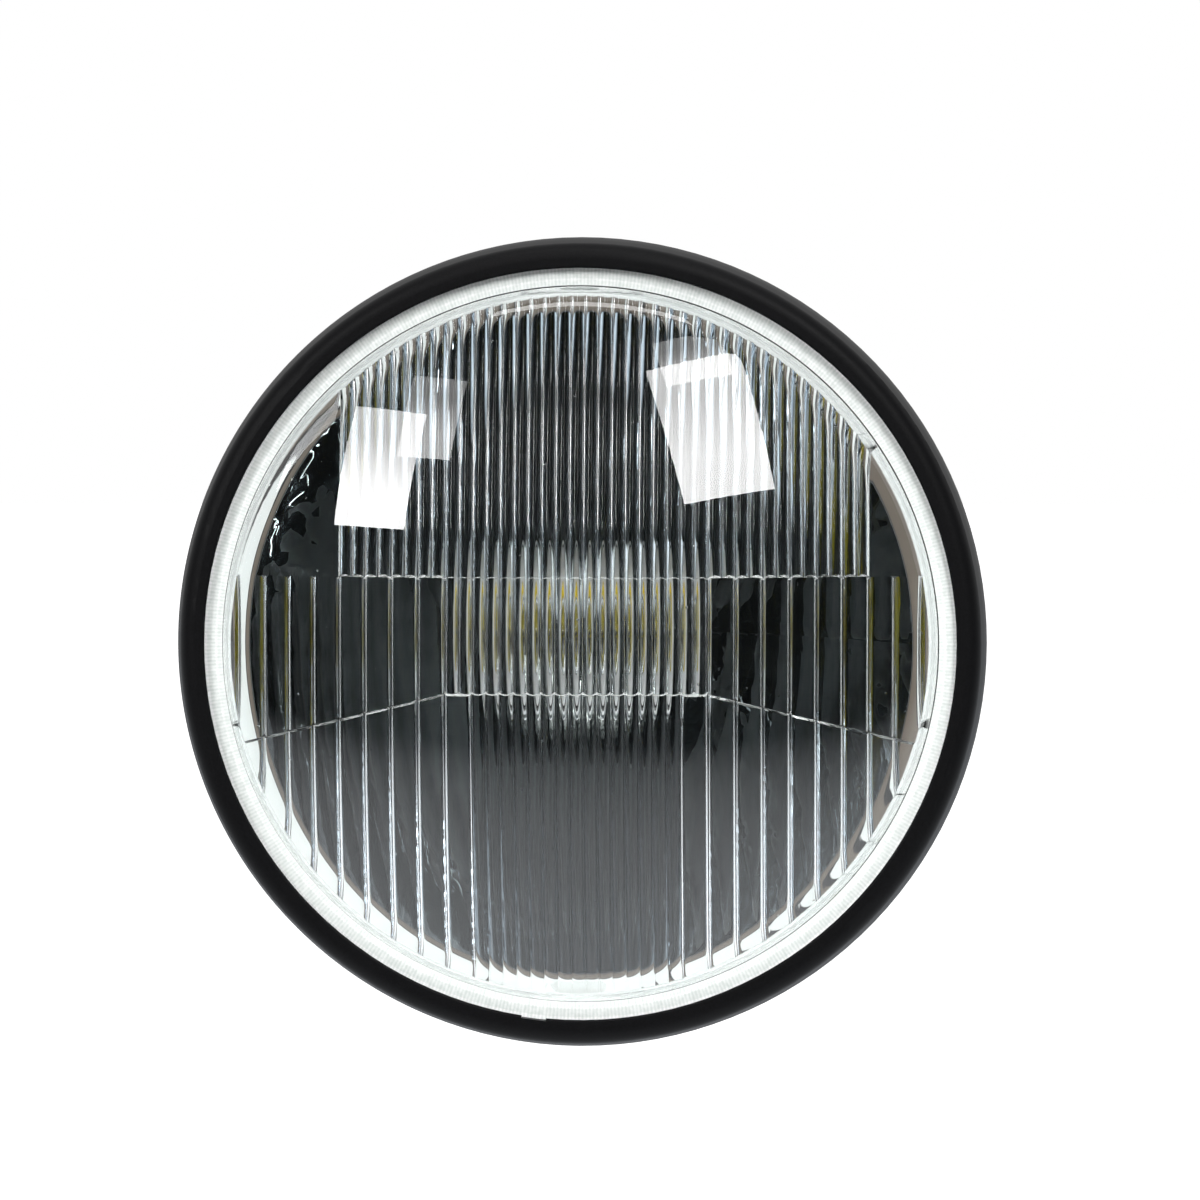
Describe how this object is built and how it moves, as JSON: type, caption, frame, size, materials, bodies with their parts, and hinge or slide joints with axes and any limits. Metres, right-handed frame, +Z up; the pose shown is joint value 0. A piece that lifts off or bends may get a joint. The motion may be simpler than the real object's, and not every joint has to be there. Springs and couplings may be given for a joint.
{
  "type": "motorcycle headlight",
  "caption": "Round motorcycle headlight with a black rim, a domed fluted glass lens, a mirror reflector and bulb in a steel bowl that hangs between fork brackets.",
  "frame": {"origin": "where the optical axis crosses the axis of the side threads, at the middle of the lamp", "axes": "+X to the right as seen from the front, +Y to the back along the optical axis, +Z up"},
  "size_m": [0.165, 0.1406, 0.165],
  "materials": {
    "rim_paint": "matt black powder coat",
    "shell_paint": "matt black powder coat",
    "lens_glass": "clear pressed glass, fluted inside",
    "sealant": "white silicone sealant",
    "reflector_mirror": "vacuum metallised steel",
    "black_rubber": "moulded black rubber",
    "bulb_glass": "clear hard glass",
    "zinc_steel": "bright zinc plate",
    "base_plastic": "moulded insulator",
    "bulb_metal": "drawn metal",
    "spring_steel": "spring wire",
    "blade_brass": "stamped brass",
    "boss_steel": "turned and zinc plated"
  },
  "bodies": {
    "root": {"bulb_base": "base_plastic", "bulb_collar": "zinc_steel", "bulb_envelope": "bulb_glass", "bulb_lead_common": "bulb_metal", "bulb_lead_dip": "bulb_metal", "bulb_lead_main": "bulb_metal", "bulb_shield": "bulb_metal", "bulb_spring": "spring_steel", "bulb_stem": "bulb_glass", "bulb_terminal_left": "blade_brass", "bulb_terminal_right": "blade_brass", "bulb_terminal_top": "blade_brass", "dust_boot": "black_rubber", "filament_dip": "bulb_metal", "filament_main": "bulb_metal", "lens": "lens_glass", "lens_sealant": "sealant", "loom_grommet": "black_rubber", "reflector": "reflector_mirror", "retaining_clip_1": "spring_steel", "retaining_clip_2": "spring_steel", "retaining_clip_3": "spring_steel", "retaining_clip_4": "spring_steel", "retaining_clip_5": "spring_steel", "retaining_clip_6": "spring_steel", "rim": "rim_paint", "rim_ear_left": "zinc_steel", "rim_ear_right": "zinc_steel", "rim_gasket": "black_rubber", "rim_hook": "zinc_steel", "rim_nuts": "zinc_steel", "rim_screws": "zinc_steel", "shell": "shell_paint", "side_boss_left": "boss_steel", "side_boss_right": "boss_steel", "spring_catch": "zinc_steel", "spring_hinge": "zinc_steel", "spring_rivets": "zinc_steel"}
  },
  "joints": []
}
